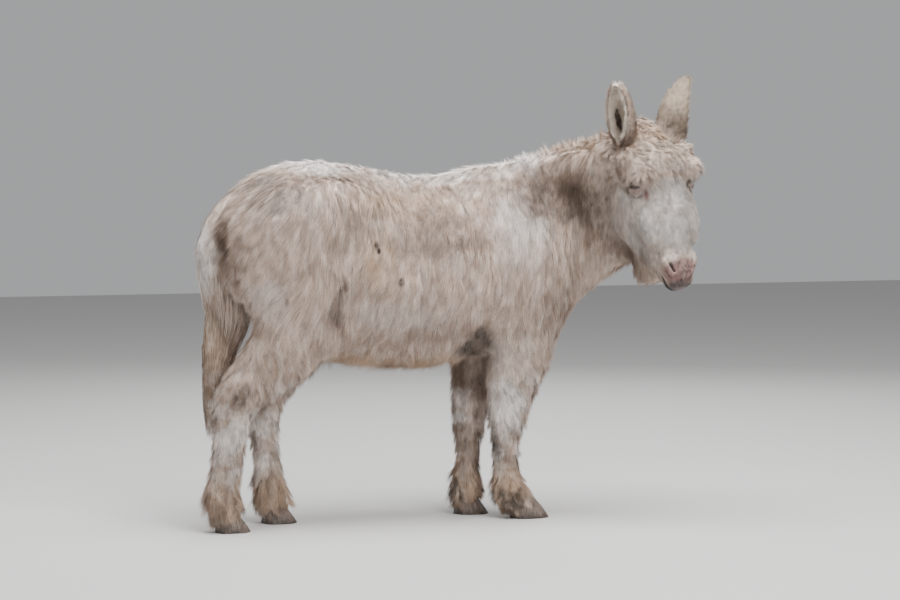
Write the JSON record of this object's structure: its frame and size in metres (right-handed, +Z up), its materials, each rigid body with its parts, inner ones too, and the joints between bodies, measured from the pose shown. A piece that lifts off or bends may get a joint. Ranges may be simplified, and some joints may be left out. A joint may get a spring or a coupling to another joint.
{
  "type": "donkey",
  "caption": "Donkey in a long cream winter coat, standing with its head turned to its right: ears up, shaggy cheeks and belly, feathered feet and a long full tail.",
  "frame": {"origin": "on the floor under the middle of the bounding box, which lies below the rear half of the barrel", "axes": "+X the way the trunk faces, +Y the animal's left, +Z up"},
  "size_m": [1.492, 0.5821, 1.3118],
  "materials": {
    "coat": "matte",
    "hoof": "matte",
    "eye": "gloss"
  },
  "bodies": {
    "root": {"trunk": "coat", "neck": "coat", "head": "coat", "ear_left": "coat", "ear_right": "coat", "tail_dock": "coat", "tail_switch": "coat", "right_fore_leg_upper": "coat", "right_fore_leg_lower": "coat", "right_hind_leg_upper": "coat", "right_hind_leg_lower": "coat", "left_fore_leg_upper": "coat", "left_fore_leg_lower": "coat", "left_hind_leg_upper": "coat", "left_hind_leg_lower": "coat", "right_fore_hoof": "hoof", "right_hind_hoof": "hoof", "left_fore_hoof": "hoof", "left_hind_hoof": "hoof", "eye_left": "eye", "eye_right": "eye"}
  },
  "joints": []
}
